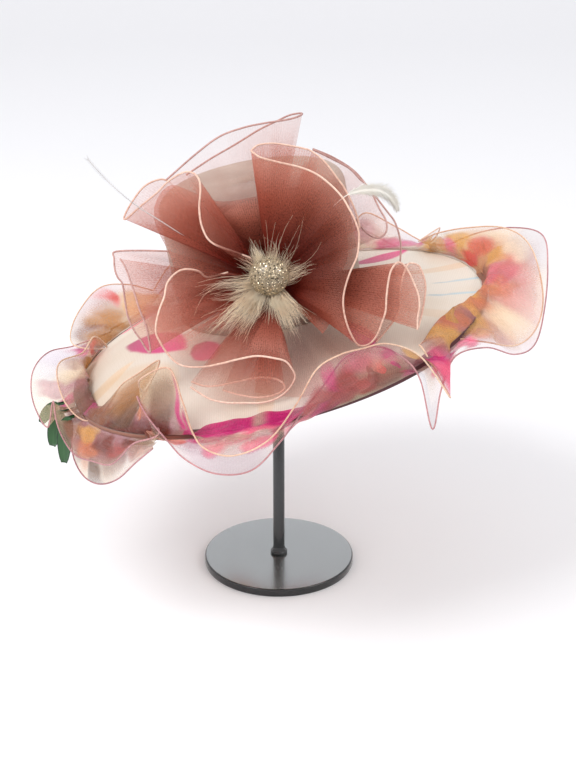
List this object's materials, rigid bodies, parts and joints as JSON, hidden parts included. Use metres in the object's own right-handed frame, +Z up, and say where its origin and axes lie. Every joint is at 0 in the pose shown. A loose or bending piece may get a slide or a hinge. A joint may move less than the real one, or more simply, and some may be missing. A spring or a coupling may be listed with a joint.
{
  "type": "sun hat on display stand",
  "caption": "Wide-brimmed organza sun hat with ruffled edge, large cloth flower, feathers and brooch, on a round stand.",
  "frame": {"origin": "centre of the underside of the stand's round base, on the surface that it stands on", "axes": "+Z up along the stand's post; -Y towards the hat's front, where the flower is; +X to the wearer's left, the right of the picture"},
  "size_m": [0.5564, 0.5308, 0.5227],
  "materials": {
    "stand_gloss": "high gloss black",
    "crown_fabric": "woven satin over buckram, grey beige",
    "brim_satin": "cream satin with a soft petal print",
    "binding_satin": "dark maroon satin binding",
    "ruffle_organza": "sheer printed organza in gold, peach, magenta and cream",
    "flower_organza": "sheer rust organza with a rolled peach hem",
    "brooch_crystal": "small faceted champagne crystals",
    "marabou": "soft cream down",
    "feather": "matte white feather",
    "leaf_satin": "glossy green fabric leaf with a dark edge"
  },
  "bodies": {
    "root": {"stand_base": "stand_gloss", "stand_post": "stand_gloss", "stand_head": "stand_gloss", "crown": "crown_fabric", "brim": "brim_satin", "brim_binding": "binding_satin", "flower_hub": "flower_organza", "brooch": "brooch_crystal", "petal_lower_left": "flower_organza", "petal_right": "flower_organza", "petal_left": "flower_organza", "petal_right_back": "flower_organza", "petal_top": "flower_organza", "petal_loop_right": "flower_organza", "petal_back_right": "flower_organza", "petal_lower_right": "flower_organza", "petal_lower_inner": "flower_organza", "petal_far_left": "flower_organza", "ruffle_upper": "ruffle_organza", "ruffle_lower": "ruffle_organza", "ruffle_under": "ruffle_organza", "feather_tufts": "marabou", "white_feather": "feather", "quill_feather": "feather", "leaf_1": "leaf_satin", "leaf_2": "leaf_satin", "leaf_3": "leaf_satin"}
  },
  "joints": []
}
